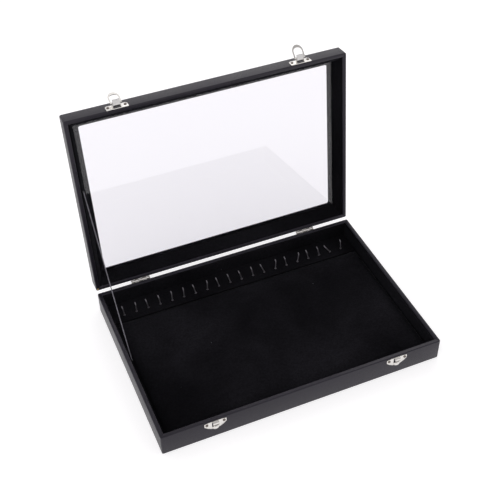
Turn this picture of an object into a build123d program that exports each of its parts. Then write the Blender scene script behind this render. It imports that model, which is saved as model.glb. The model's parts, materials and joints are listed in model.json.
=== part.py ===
from build123d import *
from math import atan2, degrees, hypot
import os

# Necklace display case: a shallow wrapped base with a padded bed and a row of
# hooks, and a glazed lid on two butt hinges, held open by a cord and shut by
# two draw latches.  Millimetres.  Origin: centre of the base's underside,
# +X to the right, +Y to the hinged back, +Z up.  The lid stands open.

# ---------------------------------------------------------------- overall size
case_w = 350.0             # outside width
case_d = 240.0             # outside depth
base_h = 29.0              # height of the base
lid_h = 19.0               # height of the lid
lid_open = 96.6            # how far the lid stands open, degrees
shut_gap = 0.8             # light between the rims when the lid is shut

# ------------------------------------------------------------ walls and covers
skin_t = 0.6               # leatherette
board_t = 3.8              # wall boards
rim_t = board_t + 2 * skin_t
corner_r = 2.0             # outside upright corners
rim_r = 0.4                # edge of the rim
floor_t = 3.0              # bottom board
turn_under = 12.0          # leatherette folded under the base
liner_t = 1.5              # velvet on card
liner_drop = 1.0           # liners stop this far below the rim
slide_gap = 0.3            # beside pieces dropped into the base

# --------------------------------------------------------------- padded bed
bed_top = 12.5             # height of the velvet bed
bed_roll = 6.5             # rolled edge of the bed
cover_t = 0.9              # velvet over foam
bed_board_t = 1.6

# ------------------------------------------------------------ hooks and strip
strip_top = 9.5            # height of the hook strip
strip_w = 33.6             # its depth, front to back
strip_gap = 0.6            # between the bed and the strip
hook_count = 20
hook_margin = 17.1         # end hooks from the strip's ends
hook_back = 23.7           # line of the hooks from the strip's back edge
hook_r = 0.7               # wire
hook_foot_r = 1.5
hook_foot_t = 0.7
hook_stem = 8.6            # straight stretch above the foot
hook_bend_r = 2.6          # the tip bends back by this radius
hook_bend = 55.0           # degrees of bend at the tip
hook_tip = 1.2             # straight stretch past the bend
hook_sink = 4.0            # wire pushed into the strip
hook_rake = 12.0           # all of them rake back, degrees
hook_leans = (-5, 2, -9, -6, 1, 2, -11, 4, -12, -12, -14, -7, -20, 8, -8, 15, -10, -10, -37, 2)
hole_play = 0.02           # round a fastener in its own hole

# ----------------------------------------------------------------- glazed lid
glass_t = 2.0
glass_z = 15.0             # inner face of the glass above the lid's rim
glass_gap = 0.5            # round the edge of the glass
window_inset = 18.4        # window edge from the outside of the lid
side_land = 7.3            # moulding's width at the glass, at the two ends
front_land = 10.3          # and along the front and back
side_lip = 0.8             # moulding's width near the rim
moulding_drop = 1.0        # mouldings start this far inside the rim

# --------------------------------------------------------------------- hinges
hinge_spacing = 230.0      # centre to centre
hinge_shift = -2.5         # the pair sits this far off centre
hinge_len = 25.0
hinge_back = 1.8           # pin axis behind the back face
knuckle_r = 1.6
knuckle_count = 5
knuckle_gap = 0.12
hinge_pin_r = 0.7
pin_play = 0.05            # radial, where a knuckle or a lever turns
leaf_t = 0.8
leaf_h = 8.6
leaf_clear = 0.25          # round the other leaf's knuckles
hinge_screw_x = 7.0
hinge_screw_up = 5.2       # from the rim

# -------------------------------------------------------------------- latches
latch_spacing = 227.5      # centre to centre
latch_shift = 2.3
plate_t = 0.8
plate_w = 26.5
latch_plate_h = 10.0
latch_plate_lift = 0.6     # plate's lower edge above the lid's rim
latch_corner = 2.2         # cut corners of the plate
latch_pin_up = 5.0         # pin above the lid's rim
latch_pin_out = 3.4        # pin in front of the lid's face
latch_pin_r = 0.7
lever_w = 8.4
lever_reach = 6.6          # pin to tip
lever_t = 0.8
lever_open = 85.0          # lever's swing from shut to open, degrees
ear_gap = 0.15             # lever to ear
ear_t = 0.7
ear_r = 1.2
lever_bow = 0.3            # how far the lever's middle falls back from its root
lever_curl = 1.1           # and its tip
lever_belly = 0.55         # where the middle is, as a share of the reach
loop_pin_r = 0.8
loop_t = 1.2               # flat stock
loop_leg_w = 1.8
loop_arch_w = 3.0          # the loop is wider across its far end
loop_arch_r = 6.5          # inside of the far end
loop_tilts = (72.0, 42.0)  # each loop leans back from straight out, left and right
loop_eye_up = 2.0          # loop's pivot from the lever's pin, lever shut
loop_eye_in = 0.7
eye_wall = 0.65
loop_gap = 0.15            # loop to ear
catch_top = 1.5            # catch's edges and hook, down from the base's rim
catch_bend = 4.8           # centre of the hook's bend
catch_wing = 7.7           # lower edge of the wings
catch_tip = 8.0            # free edge of the hook
catch_belly = 12.8
catch_screw = 4.6
catch_bend_in = 1.0        # inside radius of the bend
catch_w = 7.5              # width of the hook
catch_belly_w = 15.0
catch_belly_rise = 1.2     # the belly's corners
catch_end_drop = 0.8       # slope of the top edge at the wings
seat_rise = 0.5            # the shut loop reaches this far into the bend
seat_depth = 1.5           # and lies centred in the hook this far below it
latch_screw_x = 10.3

# ----------------------------------------------------- screws, stay and rim pin
screw_r = 0.75
screw_head_r = 1.7
screw_head_t = 0.9
screw_grip = 3.4           # how deep a screw bites below the plate
cord_r = 0.6
cord_clear = 1.9           # cord's centre inside the base's left liner
stay_base_y = 9.5
stay_base_z = 16.5
stay_lid_reach = 144.0     # cord's end from the lid's hinge edge
stay_lid_z = 3.6           # and inside the lid's rim
knot_r = 1.15
tack_r = 0.5
rim_pin_in = 2.4           # brass pin from both outside faces
rim_pin_head_r = 1.1
rim_pin_head_t = 0.35
rim_pin_len = 6.0

# ------------------------------------------------------------- worked out sizes
half_w, half_d = case_w / 2, case_d / 2
floor_top = skin_t + floor_t
lid_z = base_h + shut_gap              # the lid's rim when shut
glass_out = glass_z + glass_t
hinge_y = half_d + hinge_back
hinge_z = base_h + shut_gap / 2
liner_in = rim_t + liner_t
well_x = half_w - liner_in - slide_gap     # where the pieces in the base end
well_y = half_d - liner_in - slide_gap
bed_back = well_y - strip_w - strip_gap
hook_y = well_y - hook_back
hook_pitch = 2 * (well_x - hook_margin) / (hook_count - 1)
front_lip = side_lip * front_land / side_land
hinge_centres = [hinge_shift + side * hinge_spacing / 2 for side in (-1, 1)]
latch_centres = [latch_shift + side * latch_spacing / 2 for side in (-1, 1)]
latch_pin_z = lid_z + latch_pin_up
latch_pin_y = -half_d - latch_pin_out
ear_in = lever_w / 2 + ear_gap
ear_out = ear_in + ear_t
loop_in, loop_out = ear_out + loop_gap, ear_out + loop_gap + loop_leg_w
bend_y, bend_z = -half_d - plate_t - catch_bend_in, base_h - catch_bend
eye_y = latch_pin_y + loop_eye_in
eye_z = latch_pin_z + loop_eye_up
loop_seat = eye_z - bend_z - seat_rise
loop_shut = degrees(atan2(bend_y - eye_y, eye_z - bend_z + seat_depth))
loop_swings = [lever_open + 90 + loop_shut + tilt for tilt in loop_tilts]

os.makedirs("parts", exist_ok=True)


# -------------------------------------------------------------------- helpers
def save(name, shape):
    "Write one piece, or one group of like pieces, under its own name."
    solids = shape.solids()
    export_step(solids[0] if len(solids) == 1 else Compound(children=solids), f"parts/{name}.step")


def block(x0, x1, y0, y1, z0, z1):
    "A box between two corners."
    return Pos((x0 + x1) / 2, (y0 + y1) / 2, (z0 + z1) / 2) * Box(x1 - x0, y1 - y0, z1 - z0)


def tray(inset, z0, z1, inset_y=None):
    "A box as wide and deep as the case, less an inset all round."
    inset_y = inset if inset_y is None else inset_y
    return block(-half_w + inset, half_w - inset, -half_d + inset_y, half_d - inset_y, z0, z1)


def rounded_tray(inset, z0, z1, radius):
    body = tray(inset, z0, z1)
    return fillet(body.edges().filter_by(Axis.Z), radius)


def rod(start, end, radius):
    "A round bar between two points."
    start, end = Vector(*start), Vector(*end)
    return Plane(origin=start, z_dir=end - start) * extrude(Circle(radius), (end - start).length)


def outline(points, y0, depth):
    "A plate in the XZ plane from (x, z) points, grown towards the front."
    face = make_face(Polyline(*[(x, y0, z) for x, z in points], close=True))
    return extrude(face, depth, dir=(0, -1, 0))


def about_x(shape, y, z, angle):
    "Turn a shape about a line along X through (y, z)."
    return Pos(0, y, z) * Rot(angle, 0, 0) * Pos(0, -y, -z) * shape


def on_open_lid(shape):
    "Carry a shape from its place on the shut lid to where the lid stands open."
    return about_x(shape, hinge_y, hinge_z, -lid_open)


def screw(x, y, z, facing):
    "A round-head screw whose head sits on a plate's face; facing is -1 front, 1 back."
    tail = y - facing * (plate_t + screw_grip)
    head = rod((x, y, z), (x, y + facing * screw_head_t, z), screw_head_r)
    head = fillet(head.faces().sort_by(Axis.Y)[0 if facing < 0 else -1].edges(), screw_head_t * 0.6)
    slot_w, slot_d = screw_head_r / 4, screw_head_t / 3
    face_y = y + facing * screw_head_t
    slot = Pos(x, face_y, z) * Box(2 * screw_head_r, 2 * slot_d, slot_w)
    return head - slot + rod((x, tail, z), (x, y, z), screw_r)


def screw_hole(x, y, z, facing):
    "The space that such a screw takes below the plate's face."
    tail = y - facing * (plate_t + screw_grip + hole_play)
    return rod((x, tail, z), (x, y, z), screw_r + hole_play)


def fuse(pieces):
    total = pieces[0]
    for piece in pieces[1:]:
        total = total + piece
    return total


# ------------------------------------------------------ places of the fasteners
hinge_screw_base = [(x + side * hinge_screw_x, half_d + leaf_t, base_h - hinge_screw_up, 1)
                    for x in hinge_centres for side in (-1, 1)]
hinge_screw_lid = [(x, y, lid_z + hinge_screw_up, f) for x, y, z, f in hinge_screw_base]
latch_screw_at = [(x + side * latch_screw_x, -half_d - plate_t,
                   lid_z + latch_plate_lift + latch_plate_h / 2, -1)
                  for x in latch_centres for side in (-1, 1)]
catch_screw_at = [(x + side * latch_screw_x, -half_d - plate_t, base_h - catch_screw, -1)
                  for x in latch_centres for side in (-1, 1)]

cord_x = -half_w + liner_in + cord_clear
stay_base = (cord_x, stay_base_y, stay_base_z)
stay_lid_shut = (cord_x, half_d - stay_lid_reach, lid_z + stay_lid_z)


def stay_shank(centre, play=0.0):
    "The tack that holds a cord end, driven into the left wall."
    x, y, z = centre
    return rod((-half_w + skin_t + 1, y, z), (x, y, z), tack_r + play)


rim_pin_at = (-half_w + rim_pin_in, half_d - rim_pin_in)
rim_pin_shank = rod((*rim_pin_at, lid_z), (*rim_pin_at, lid_z + rim_pin_len), tack_r)
rim_pin_hole = rod((*rim_pin_at, lid_z - rim_r), (*rim_pin_at, lid_z + rim_pin_len + hole_play),
                   tack_r + hole_play)

base_holes = [screw_hole(*at) for at in hinge_screw_base + catch_screw_at]
base_holes.append(stay_shank(stay_base, hole_play))
lid_holes = [screw_hole(*at) for at in hinge_screw_lid + latch_screw_at]
lid_holes += [stay_shank(stay_lid_shut, hole_play), rim_pin_hole]


def drilled(shape, holes):
    for hole in holes:
        shape = shape - hole
    return shape


# ----------------------------------------------------------- walls, base and lid
def wall_boards(z0, z1):
    "Four boards: front and back run the full width, the ends fit between."
    inner = skin_t + board_t
    slab = rounded_tray(skin_t, z0, z1, corner_r - skin_t)
    ring = slab - tray(inner, z0, z1)
    far = half_d - inner
    front = ring & block(-half_w, half_w, -half_d, -far, z0, z1)
    back = ring & block(-half_w, half_w, far, half_d, z0, z1)
    left = ring & block(-half_w, 0, -far, far, z0, z1)
    right = ring & block(0, half_w, -far, far, z0, z1)
    return {"front": front, "back": back, "left": left, "right": right}


def make_base_walls():
    for side, board in wall_boards(skin_t, base_h - skin_t).items():
        save(f"base_{side}_board", drilled(board, base_holes))
    save("base_bottom_board", tray(skin_t + board_t, skin_t, floor_top))
    save("base_underside_sheet", tray(turn_under, 0, skin_t))


def make_base_wrap():
    "Leatherette: round the walls, over the rim, down inside, and under the edge."
    body = rounded_tray(0, 0, base_h, corner_r)
    body = fillet(body.faces().sort_by(Axis.Z)[-1].edges(), rim_r)
    body -= tray(rim_t, floor_top, base_h)
    body -= tray(skin_t + board_t, skin_t, floor_top)
    body -= tray(turn_under, 0, skin_t)
    slab = rounded_tray(skin_t, skin_t, base_h - skin_t, corner_r - skin_t)
    body -= slab - tray(skin_t + board_t, skin_t, base_h - skin_t)
    save("base_wrap", drilled(body, base_holes))


def make_base_liners():
    "Velvet on card: the end liners run front to back, the others fit between."
    z0, z1 = floor_top, base_h - liner_drop
    x0, x1 = half_w - liner_in, half_w - rim_t
    y0, y1 = half_d - liner_in, half_d - rim_t
    save("base_left_liner", drilled(block(-x1, -x0, -y1, y1, z0, z1), base_holes))
    save("base_right_liner", block(x0, x1, -y1, y1, z0, z1))
    save("base_front_liner", drilled(block(-x0, x0, -y1, -y0, z0, z1), base_holes))
    save("base_back_liner", drilled(block(-x0, x0, y0, y1, z0, z1), base_holes))


def bed_block(inset, top, roll):
    "The bed's block with a rolled upper edge, drawn in by an inset."
    x = well_x - inset
    body = block(-x, x, -well_y + inset, bed_back - inset, floor_top, top)
    return fillet(body.faces().sort_by(Axis.Z)[-1].edges(), roll)


def make_bed():
    outer = bed_block(0, bed_top, bed_roll)
    core = bed_block(cover_t, bed_top - cover_t, bed_roll - cover_t)
    deck = block(-half_w, half_w, -half_d, half_d, floor_top, floor_top + bed_board_t)
    save("bed_board", core & deck)
    save("bed_foam", core - deck)
    save("bed_cover", outer - core)


# ------------------------------------------------------------- hooks and strip
def hook_place(number):
    "Where a hook stands on the strip, with its rake and its lean."
    x = (number - (hook_count - 1) / 2) * hook_pitch
    return Pos(x, hook_y, strip_top) * Rot(0, hook_leans[number], 0) * Rot(-hook_rake, 0, 0)


def hook_body():
    "A wire hook with a flange, standing on the origin and bending to the back."
    stem = Line((0, -hook_sink), (0, hook_foot_t + hook_stem))
    bend = JernArc(start=stem @ 1, tangent=(0, 1), radius=hook_bend_r, arc_size=-hook_bend)
    tip = Line(bend @ 1, bend @ 1 + (bend % 1) * hook_tip)
    path = Plane.YZ * (stem + bend + tip)
    wire = sweep(Plane(origin=path @ 0, z_dir=path % 0) * Circle(hook_r), path)
    foot = fillet((Pos(0, 0, hook_foot_t / 2) * Cylinder(hook_foot_r, hook_foot_t)).edges(),
                  hook_foot_t * 0.3)
    return wire + foot + Pos(*(path @ 1)) * Sphere(hook_r)


def make_hooks():
    front = well_y - strip_w
    outer = block(-well_x, well_x, front, well_y, floor_top, strip_top)
    core = block(-well_x + cover_t, well_x - cover_t, front + cover_t, well_y - cover_t,
                 floor_top, strip_top - cover_t)
    pattern = hook_body()
    hooks = [hook_place(number) * pattern for number in range(hook_count)]
    room = (Pos(0, 0, hook_foot_t / 2) * Cylinder(hook_foot_r + hole_play, hook_foot_t)
            + Pos(0, 0, -hook_sink / 2) * Cylinder(hook_r + hole_play, hook_sink + 2 * hole_play))
    rooms = [hook_place(number) * room for number in range(hook_count)]
    save("hook_strip_board", drilled(core, rooms))
    save("hook_strip_cover", drilled(outer - core, rooms))
    save("necklace_hooks", Compound(children=hooks))


# ----------------------------------------------------------------- lid's frame
def make_lid_walls():
    for side, board in wall_boards(lid_z + skin_t, lid_z + lid_h - skin_t).items():
        save(f"lid_{side}_board", on_open_lid(drilled(board, lid_holes)))
    frame = tray(skin_t + board_t, lid_z + glass_out, lid_z + lid_h - skin_t)
    frame -= tray(window_inset - skin_t, lid_z, lid_z + lid_h)
    save("lid_window_frame", on_open_lid(frame))


def make_lid_wrap():
    "Leatherette: over the walls, the rim and the window's edge."
    z1 = lid_z + lid_h
    body = rounded_tray(0, lid_z, z1, corner_r)
    body = fillet(body.faces().sort_by(Axis.Z)[0].edges() + body.faces().sort_by(Axis.Z)[-1].edges(),
                  rim_r)
    body -= tray(rim_t, lid_z, lid_z + glass_out)
    body -= tray(window_inset, lid_z, z1)
    slab = rounded_tray(skin_t, lid_z + skin_t, z1 - skin_t, corner_r - skin_t)
    body -= slab - tray(skin_t + board_t, lid_z, z1)
    frame = tray(skin_t + board_t, lid_z + glass_out, z1 - skin_t)
    body -= frame - tray(window_inset - skin_t, lid_z, z1)
    save("lid_wrap", on_open_lid(drilled(body, lid_holes)))


def make_glass():
    pane = tray(rim_t + glass_gap, lid_z + glass_z, lid_z + glass_out)
    save("lid_glass", on_open_lid(pane))


def make_mouldings():
    "Velvet-covered mouldings that slope from the rim down to the glass, mitred."
    z0, z1 = lid_z + moulding_drop, lid_z + glass_z

    def rectangle(inset_x, inset_y, z):
        return Pos(0, 0, z) * Rectangle(case_w - 2 * inset_x, case_d - 2 * inset_y)

    well = loft([rectangle(rim_t + side_lip, rim_t + front_lip, z0),
                 rectangle(rim_t + side_land, rim_t + front_land, z1)])
    x0, y0 = half_w - rim_t, half_d - rim_t
    x1, y1 = x0 - side_land, y0 - front_land
    plans = {
        "front": [(-x0, -y0), (x0, -y0), (x1, -y1), (-x1, -y1)],
        "back": [(-x0, y0), (-x1, y1), (x1, y1), (x0, y0)],
        "left": [(-x0, -y0), (-x1, -y1), (-x1, y1), (-x0, y0)],
        "right": [(x0, -y0), (x0, y0), (x1, y1), (x1, -y1)],
    }
    for side, plan in plans.items():
        face = make_face(Polyline(*[(x, y, z0) for x, y in plan], close=True))
        piece = extrude(face, z1 - z0, dir=(0, 0, 1)) - well
        save(f"lid_{side}_moulding", on_open_lid(drilled(piece, lid_holes)))


# --------------------------------------------------------------------- hinges
def knuckles(centre, first):
    "Every second knuckle of a hinge, from the first, as spans along X."
    width = hinge_len / knuckle_count
    left = centre - hinge_len / 2
    return [(left + n * width + knuckle_gap / 2, left + (n + 1) * width - knuckle_gap / 2)
            for n in range(first, knuckle_count, 2)]


def hinge_leaf(centre, first, rises):
    "One leaf on the back face; rises is 1 on the lid and -1 on the base."
    edge = hinge_z + rises * (knuckle_r - hinge_back / 2)
    far = (lid_z if rises > 0 else base_h) + rises * leaf_h
    z0, z1 = sorted((edge, far))
    leaf = block(centre - hinge_len / 2, centre + hinge_len / 2, half_d, half_d + leaf_t, z0, z1)
    leaf -= rod((centre - hinge_len, hinge_y, hinge_z), (centre + hinge_len, hinge_y, hinge_z),
                knuckle_r + leaf_clear)
    bore = rod((centre - hinge_len, hinge_y, hinge_z), (centre + hinge_len, hinge_y, hinge_z),
               hinge_pin_r + pin_play)
    for x0, x1 in knuckles(centre, first):
        barrel = rod((x0, hinge_y, hinge_z), (x1, hinge_y, hinge_z), knuckle_r)
        z0, z1 = sorted((hinge_z, edge + rises * knuckle_r))
        inner = hinge_y - knuckle_r
        web = block(x0, x1, inner, half_d + leaf_t, z0, z1)
        leaf += barrel + web
    return leaf - bore


def make_hinges():
    for name, centre in zip(("left", "right"), hinge_centres):
        base_leaf = drilled(hinge_leaf(centre, 0, -1), base_holes)
        lid_leaf = drilled(hinge_leaf(centre, 1, 1), lid_holes)
        save(f"hinge_base_leaf_{name}", base_leaf)
        save(f"hinge_lid_leaf_{name}", on_open_lid(lid_leaf))
        half = hinge_len / 2
        save(f"hinge_pin_{name}", rod((centre - half, hinge_y, hinge_z),
                                      (centre + half, hinge_y, hinge_z), hinge_pin_r))
    save("hinge_base_screws", Compound(children=[screw(*at) for at in hinge_screw_base]))
    save("hinge_lid_screws", Compound(children=[on_open_lid(screw(*at)) for at in hinge_screw_lid]))


# -------------------------------------------------------------------- latches
def latch_plate(centre):
    "The plate on the lid with two ears that hold the lever's pin."
    z0 = lid_z + latch_plate_lift
    z1 = z0 + latch_plate_h
    half, cut = plate_w / 2, latch_corner
    plate = outline([(centre - half, z0), (centre + half, z0), (centre + half, z1 - cut),
                     (centre + half - cut, z1), (centre - half + cut, z1), (centre - half, z1 - cut)],
                    -half_d, plate_t)
    for side in (-1, 1):
        x0, x1 = sorted((centre + side * ear_in, centre + side * ear_out))
        ear = rod((x0, latch_pin_y, latch_pin_z), (x1, latch_pin_y, latch_pin_z), ear_r)
        foot = block(x0, x1, latch_pin_y, -half_d - plate_t / 2, latch_pin_z - 2 * ear_r,
                     latch_pin_z + ear_r / 2)
        plate += ear + foot
    return plate - latch_pin(centre, hole_play)


def latch_pin(centre, play=0.0):
    return rod((centre - ear_out, latch_pin_y, latch_pin_z),
               (centre + ear_out, latch_pin_y, latch_pin_z), latch_pin_r + play)


def lever(centre):
    "The curved thumb lever, drawn shut: it lies up the lid from its pin."
    x0, x1 = centre - lever_w / 2, centre + lever_w / 2
    y, z = latch_pin_y, latch_pin_z
    crown = latch_pin_r + pin_play + eye_wall
    hub = rod((x0, y, z), (x1, y, z), crown)
    eye = rod((x0, eye_y, eye_z), (x1, eye_y, eye_z), loop_pin_r + pin_play + eye_wall)
    middle, tip = y - crown + lever_bow, y - crown + lever_curl
    belly_z, tip_z = z + lever_reach * lever_belly, z + lever_reach
    top = ThreePointArc((0, y - crown, z), (0, middle, belly_z), (0, tip, tip_z))
    under = ThreePointArc((0, tip + lever_t, tip_z - lever_t / 2), (0, middle + lever_t, belly_z),
                          (0, y, z))
    face = make_face(top + Line(top @ 1, under @ 0) + under + Line(under @ 1, top @ 0))
    tongue = Pos(x0, 0, 0) * extrude(face, lever_w, dir=(1, 0, 0))
    pin_bore = rod((x0 - 1, y, z), (x1 + 1, y, z), latch_pin_r + pin_play)
    eye_bore = rod((x0 - 1, eye_y, eye_z), (x1 + 1, eye_y, eye_z), loop_pin_r + pin_play)
    return tongue + hub + eye - pin_bore - eye_bore


def sag(radius, offset):
    "How far an arc falls away from its crown at an offset from the middle."
    return radius - (radius * radius - offset * offset) ** 0.5


def loop(centre):
    "The flat loop, drawn hanging straight down from its eye in the shut lever."
    crown_in = eye_z - loop_seat - sag(loop_arch_r, catch_w / 2)
    crown_out = crown_in - loop_arch_w
    outer_r = loop_arch_r + loop_leg_w
    foot_in = crown_in + sag(loop_arch_r, loop_in)
    foot_out = crown_out + sag(outer_r, loop_out)
    inner = ThreePointArc((-loop_in, foot_in), (0, crown_in), (loop_in, foot_in))
    outer = ThreePointArc((loop_out, foot_out), (0, crown_out), (-loop_out, foot_out))
    edge = [inner, Line((loop_in, foot_in), (loop_in, eye_z)), Line((loop_in, eye_z), (loop_out, eye_z)),
            Line((loop_out, eye_z), (loop_out, foot_out)), outer,
            Line((-loop_out, foot_out), (-loop_out, eye_z)), Line((-loop_out, eye_z), (-loop_in, eye_z)),
            Line((-loop_in, eye_z), (-loop_in, foot_in))]
    face = Plane.XZ * make_face(Wire(Wire.combine(edge)[0].edges()))
    band = Pos(centre, eye_y + loop_t / 2, 0) * extrude(face, loop_t, dir=(0, -1, 0))
    pieces = [band]
    for side in (-1, 1):
        inner_end = centre + side * (lever_w / 2 - 2 * loop_pin_r)
        outer_end = centre + side * loop_out
        pieces.append(rod((outer_end, eye_y, eye_z), (inner_end, eye_y, eye_z), loop_pin_r))
    return fuse(pieces)


def lever_at_rest(shape):
    return on_open_lid(about_x(shape, latch_pin_y, latch_pin_z, lever_open))


def loop_at_rest(shape, tilt):
    "The loop stands out from the lid's front face and leans back."
    return lever_at_rest(about_x(shape, eye_y, eye_z, -90 - lever_open - tilt))


def catch_plate(centre):
    "The winged plate on the base with a hook that the loop pulls against."
    half, belly = plate_w / 2, catch_belly_w / 2
    top, wing, low = base_h - catch_top, base_h - catch_wing, base_h - catch_belly
    corner = low + catch_belly_rise
    plate = outline([(centre - half, wing), (centre - belly, corner), (centre - belly / 2, low),
                     (centre + belly / 2, low), (centre + belly, corner), (centre + half, wing),
                     (centre + half, top - catch_end_drop), (centre + belly, top),
                     (centre - belly, top), (centre - half, top - catch_end_drop)],
                    -half_d, plate_t)
    x0, x1 = centre - catch_w / 2, centre + catch_w / 2
    bend_out = catch_bend_in + plate_t
    bend = rod((x0, bend_y, bend_z), (x1, bend_y, bend_z), bend_out)
    bend -= rod((x0, bend_y, bend_z), (x1, bend_y, bend_z), catch_bend_in)
    bend &= block(x0, x1, bend_y - bend_out, bend_y + bend_out, bend_z, top)
    lip = block(x0, x1, bend_y - bend_out, bend_y - catch_bend_in, base_h - catch_tip, bend_z)
    lip = fillet(lip.edges().filter_by(Axis.Y).sort_by(Axis.Z)[:2], catch_w / 6)
    return plate + bend + lip


def make_latches():
    for name, centre, tilt in zip(("left", "right"), latch_centres, loop_tilts):
        save(f"latch_plate_{name}", on_open_lid(drilled(latch_plate(centre), lid_holes)))
        save(f"latch_pin_{name}", on_open_lid(latch_pin(centre)))
        save(f"latch_lever_{name}", lever_at_rest(lever(centre)))
        save(f"latch_loop_{name}", loop_at_rest(loop(centre), tilt))
        save(f"catch_plate_{name}", drilled(catch_plate(centre), base_holes))
    save("latch_screws", Compound(children=[on_open_lid(screw(*at)) for at in latch_screw_at]))
    save("catch_screws", Compound(children=[screw(*at) for at in catch_screw_at]))


# --------------------------------------------------------------- stay, rim pin
def make_stay():
    "A taut cord from the base's left wall to the lid's, tied at two tacks."
    base_knot = Pos(*stay_base) * Sphere(knot_r)
    lid_knot = Pos(*stay_lid_shut) * Sphere(knot_r)
    base_anchor = base_knot + stay_shank(stay_base)
    lid_anchor = on_open_lid(lid_knot + stay_shank(stay_lid_shut))
    lid_end = on_open_lid(Pos(*stay_lid_shut)).position
    cord = rod(stay_base, tuple(lid_end), cord_r)
    save("stay_cord", cord - base_anchor - lid_anchor)
    save("stay_base_anchor", base_anchor)
    save("stay_lid_anchor", lid_anchor)
    print(f"stay cord: {stay_base} to {tuple(round(v, 2) for v in lid_end)}")


def make_rim_pin():
    x, y = rim_pin_at
    head = rod((x, y, lid_z - rim_pin_head_t), (x, y, lid_z), rim_pin_head_r)
    save("rim_pin", on_open_lid(head + rim_pin_shank))


make_base_walls()
make_base_wrap()
make_base_liners()
make_bed()
make_hooks()
make_lid_walls()
make_lid_wrap()
make_glass()
make_mouldings()
make_hinges()
make_latches()
make_stay()
make_rim_pin()

lever_axis = on_open_lid(Pos(0, latch_pin_y, latch_pin_z)).position
loop_axis = lever_at_rest(Pos(0, eye_y, eye_z)).position
print(f"lid hinge: y {hinge_y:.3f} z {hinge_z:.3f}, swing {lid_open}")
print(f"lever pins: y {lever_axis.Y:.3f} z {lever_axis.Z:.3f}, swing {lever_open}")
print(f"loop eyes: y {loop_axis.Y:.3f} z {loop_axis.Z:.3f}, swings {loop_swings}")
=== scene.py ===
"""A necklace display case: leatherette over board, a velvet bed, hooks, a glazed lid and draw latches."""
import json
import math

import bmesh
import bpy
from bpy.props import FloatProperty, FloatVectorProperty, IntProperty, PointerProperty
from mathutils import Matrix, Quaternion, Vector, noise


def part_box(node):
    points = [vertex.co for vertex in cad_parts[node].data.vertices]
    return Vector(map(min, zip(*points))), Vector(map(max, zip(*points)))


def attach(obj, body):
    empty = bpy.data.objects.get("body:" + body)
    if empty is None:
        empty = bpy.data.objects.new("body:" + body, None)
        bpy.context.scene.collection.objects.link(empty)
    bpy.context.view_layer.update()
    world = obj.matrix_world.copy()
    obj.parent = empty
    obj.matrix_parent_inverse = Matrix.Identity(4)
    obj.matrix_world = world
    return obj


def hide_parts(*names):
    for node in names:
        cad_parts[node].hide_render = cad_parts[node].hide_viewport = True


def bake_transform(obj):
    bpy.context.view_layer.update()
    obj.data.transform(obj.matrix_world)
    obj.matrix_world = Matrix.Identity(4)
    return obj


bl_info = {
    "name": "Necklace display case",
    "version": (1, 0, 0),
    "blender": (4, 5, 0),
    "location": "View3D > Sidebar > Display Case",
    "description": "Covers, lines and fits out a hinged necklace case",
    "category": "Add Mesh",
}

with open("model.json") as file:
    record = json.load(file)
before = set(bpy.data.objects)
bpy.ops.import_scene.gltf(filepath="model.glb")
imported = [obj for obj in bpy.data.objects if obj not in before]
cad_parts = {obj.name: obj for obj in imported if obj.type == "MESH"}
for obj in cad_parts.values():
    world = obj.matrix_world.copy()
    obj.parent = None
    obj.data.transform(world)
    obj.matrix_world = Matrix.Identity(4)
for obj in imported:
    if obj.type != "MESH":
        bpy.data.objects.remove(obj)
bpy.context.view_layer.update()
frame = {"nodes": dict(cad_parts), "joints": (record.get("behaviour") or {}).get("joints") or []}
NODES = frame["nodes"]
JOINTS = {joint["name"]: joint for joint in frame["joints"]}
MM = 0.001

LID = JOINTS["lid_hinge"]
LID_AXIS = Vector(LID["pos_m"])
LID_SWING = math.radians(LID["range_deg"][1])
OPEN_LID = (Matrix.Translation(LID_AXIS) @ Matrix.Rotation(-LID_SWING, 4, "X")
            @ Matrix.Translation(-LID_AXIS))

BASE_LOW, BASE_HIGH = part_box("base_wrap")
WIDTH, DEPTH, BASE_H = BASE_HIGH - BASE_LOW
SHUT_GAP = 2 * (BASE_H - LID_AXIS.z) * -1
LID_Z = BASE_H + SHUT_GAP
HOOK_BACK, HOOK_MARGIN = 23.7 * MM, 17.1 * MM      # hooks from the strip's back edge and ends


# ---------------------------------------------------------------- the settings
class CoveringSettings(bpy.types.PropertyGroup):
    """Leatherette and velvet."""
    lid_height: FloatProperty(name="Lid height", description="Height of the lid's walls", default=19 * MM,
                              unit="LENGTH")
    rim_width: FloatProperty(name="Rim", description="Width of the covered rim", default=5 * MM,
                             unit="LENGTH")
    skin: FloatProperty(name="Leatherette", description="Thickness of the leatherette", default=0.55 * MM,
                        unit="LENGTH")
    corner: FloatProperty(name="Corner", description="Radius of the upright corners", default=2 * MM,
                          unit="LENGTH")
    fold: FloatProperty(name="Fold", description="Radius where the leatherette turns over an edge",
                        default=0.9 * MM, unit="LENGTH")
    window_inset: FloatProperty(name="Window inset", description="Window's edge from the outside of the lid",
                                default=18.4 * MM, unit="LENGTH")
    turn_under: FloatProperty(name="Turn under", description="Leatherette folded under the base",
                              default=12 * MM, unit="LENGTH")
    leather_colour: FloatVectorProperty(name="Leatherette colour", description="Colour of the leatherette",
                                        subtype="COLOR", size=4, default=(0.0088, 0.0078, 0.0115, 1))
    velvet_colour: FloatVectorProperty(name="Velvet colour", description="Colour of the velvet",
                                       subtype="COLOR", size=4, default=(0.0060, 0.0058, 0.0070, 1))


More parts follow.
